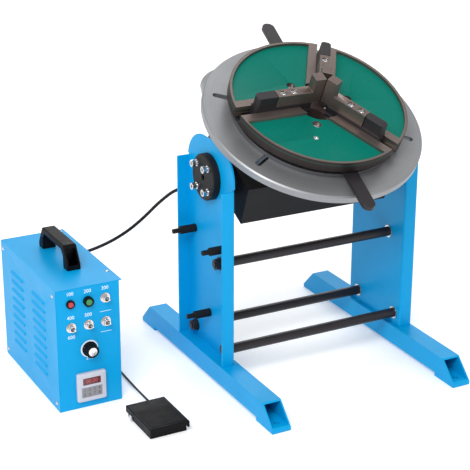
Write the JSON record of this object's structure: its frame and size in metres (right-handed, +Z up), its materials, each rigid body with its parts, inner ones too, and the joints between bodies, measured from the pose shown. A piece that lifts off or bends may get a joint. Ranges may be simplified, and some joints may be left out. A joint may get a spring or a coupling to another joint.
{
  "type": "welding positioner",
  "caption": "Welding positioner: tilting, turning table with a scroll chuck on a two-legged stand, with control box and foot pedal.",
  "frame": {"origin": "on the floor, midway between the four anchor holes of the feet", "axes": "+X along the tilt axis from the control box's side to the far leg, +Y to the rear, +Z up"},
  "size_m": [0.701, 0.6115, 0.5944],
  "materials": {
    "blue_paint": "sky-blue powder coat",
    "black_steel": "black oxide and black paint",
    "table_steel": "turned and ground",
    "chuck_steel": "ground alloy steel with green enamel in the sunk floors",
    "jaw_steel": "hardened and ground",
    "zinc_steel": "zinc plated",
    "bronze": "machined bronze",
    "motor_metal": "cast and painted silver",
    "gear_steel": "hobbed steel",
    "black_plastic": "moulded",
    "grey_plastic": "moulded light grey",
    "red_lens": "clear red cap",
    "green_cap": "green cap",
    "chrome": "polished",
    "board": "glass-epoxy board",
    "cord_jacket": "smooth jacket"
  },
  "bodies": {
    "stand": {"foot_tubes": "blue_paint", "foot_pads": "black_plastic", "leg_left": "blue_paint", "leg_right": "blue_paint", "tie_rods": "black_steel", "tie_rod_nuts": "zinc_steel", "side_posts": "black_steel", "tilt_discs": "black_steel", "trunnion_bushes": "bronze", "tilt_screws": "zinc_steel", "case_body": "blue_paint", "case_cover": "blue_paint", "case_screws": "zinc_steel", "case_handle": "black_plastic", "panel_bezels": "black_plastic", "pilot_lamp": "red_lens", "switch_bodies": "chrome", "panel_timer": "grey_plastic", "control_board": "board", "cable_glands": "black_plastic", "mains_inlet": "black_plastic", "pedal_base": "black_plastic", "pedal_pin": "zinc_steel", "pedal_spring": "zinc_steel", "head_cable": "cord_jacket", "pedal_cable": "cord_jacket"},
    "head": {"head_housing": "black_steel", "head_cover": "black_steel", "trunnions": "gear_steel", "trunnion_screws": "zinc_steel", "spindle_bushes": "bronze", "gearbox": "motor_metal", "gear_motor": "motor_metal", "head_cable_gland": "black_plastic"},
    "table": {"spindle": "gear_steel", "spindle_rings": "gear_steel", "worktable": "table_steel", "table_screws": "zinc_steel", "chuck_back_plate": "table_steel", "chuck_body": "chuck_steel", "drive_gear": "gear_steel"},
    "pinion": {"drive_pinion": "gear_steel"},
    "scroll": {"scroll_ring": "black_steel", "scroll_levers": "black_steel"},
    "jaw_1": {"master_jaw_1": "black_steel", "top_jaw_1": "jaw_steel", "jaw_screws_1": "zinc_steel"},
    "jaw_2": {"master_jaw_2": "black_steel", "top_jaw_2": "jaw_steel", "jaw_screws_2": "zinc_steel"},
    "jaw_3": {"master_jaw_3": "black_steel", "top_jaw_3": "jaw_steel", "jaw_screws_3": "zinc_steel"},
    "button": {"push_button": "green_cap"},
    "knob": {"speed_knob": "black_plastic"},
    "treadle": {"pedal_treadle": "black_plastic"},
    "toggle_1": {"toggle_lever_1": "chrome"},
    "toggle_2": {"toggle_lever_2": "chrome"},
    "toggle_3": {"toggle_lever_3": "chrome"},
    "toggle_4": {"toggle_lever_4": "chrome"}
  },
  "joints": [
    {"name": "table_tilt", "type": "hinge", "parent": "stand", "child": "head", "pos_m": [0, 0.012, 0.373], "axis": [1, 0, 0], "range_deg": [-27, 63]},
    {"name": "table_spin", "type": "hinge", "parent": "head", "child": "table", "pos_m": [0, 0.012, 0.373], "axis": [0, -0.454, 0.891], "continuous": true},
    {"name": "pinion_spin", "type": "hinge", "parent": "head", "child": "pinion", "pos_m": [-0.08, 0.012, 0.373], "axis": [0, -0.454, 0.891], "continuous": true},
    {"name": "chuck_scroll", "type": "hinge", "parent": "table", "child": "scroll", "pos_m": [0, 0.012, 0.373], "axis": [0, -0.454, 0.891], "range_deg": [0, 1440]},
    {"name": "jaw_1_slide", "type": "slide", "parent": "table", "child": "jaw_1", "axis": [0.5, 0.7716, 0.3932], "range_m": [0, 0.048]},
    {"name": "jaw_2_slide", "type": "slide", "parent": "table", "child": "jaw_2", "axis": [-1, 0, 0], "range_m": [0, 0.048]},
    {"name": "jaw_3_slide", "type": "slide", "parent": "table", "child": "jaw_3", "axis": [0.5, -0.7716, -0.3932], "range_m": [0, 0.048]},
    {"name": "toggle_1_flip", "type": "hinge", "parent": "stand", "child": "toggle_1", "pos_m": [-0.4015, -0.0325, 0.2], "axis": [1, 0, 0], "range_deg": [0, 24]},
    {"name": "toggle_2_flip", "type": "hinge", "parent": "stand", "child": "toggle_2", "pos_m": [-0.4655, -0.0325, 0.156], "axis": [1, 0, 0], "range_deg": [0, 24]},
    {"name": "toggle_3_flip", "type": "hinge", "parent": "stand", "child": "toggle_3", "pos_m": [-0.4335, -0.0325, 0.156], "axis": [1, 0, 0], "range_deg": [0, 24]},
    {"name": "toggle_4_flip", "type": "hinge", "parent": "stand", "child": "toggle_4", "pos_m": [-0.4015, -0.0325, 0.156], "axis": [1, 0, 0], "range_deg": [0, 24]},
    {"name": "button_press", "type": "slide", "parent": "stand", "child": "button", "axis": [0, 1, 0], "range_m": [0, 0.003], "stiffness_N_per_m": 700, "springref_m": -0.003},
    {"name": "knob_turn", "type": "hinge", "parent": "stand", "child": "knob", "pos_m": [-0.4335, -0.027, 0.1105], "axis": [0, 1, 0], "range_deg": [0, 270]},
    {"name": "treadle_press", "type": "hinge", "parent": "stand", "child": "treadle", "pos_m": [-0.3585, -0.113, 0.0085], "axis": [1, 0, 0], "range_deg": [0, 3], "stiffness_Nm_per_rad": 6, "springref_deg": -6.88, "deforming": ["pedal_spring"]}
  ],
  "couplings": [
    {"joint": "pinion_spin", "follows": "table_spin", "ratio": -3},
    {"joint": "jaw_1_slide", "follows": "chuck_scroll", "m_per_rad": 0.0019099},
    {"joint": "jaw_2_slide", "follows": "chuck_scroll", "m_per_rad": 0.0019099},
    {"joint": "jaw_3_slide", "follows": "chuck_scroll", "m_per_rad": 0.0019099}
  ]
}
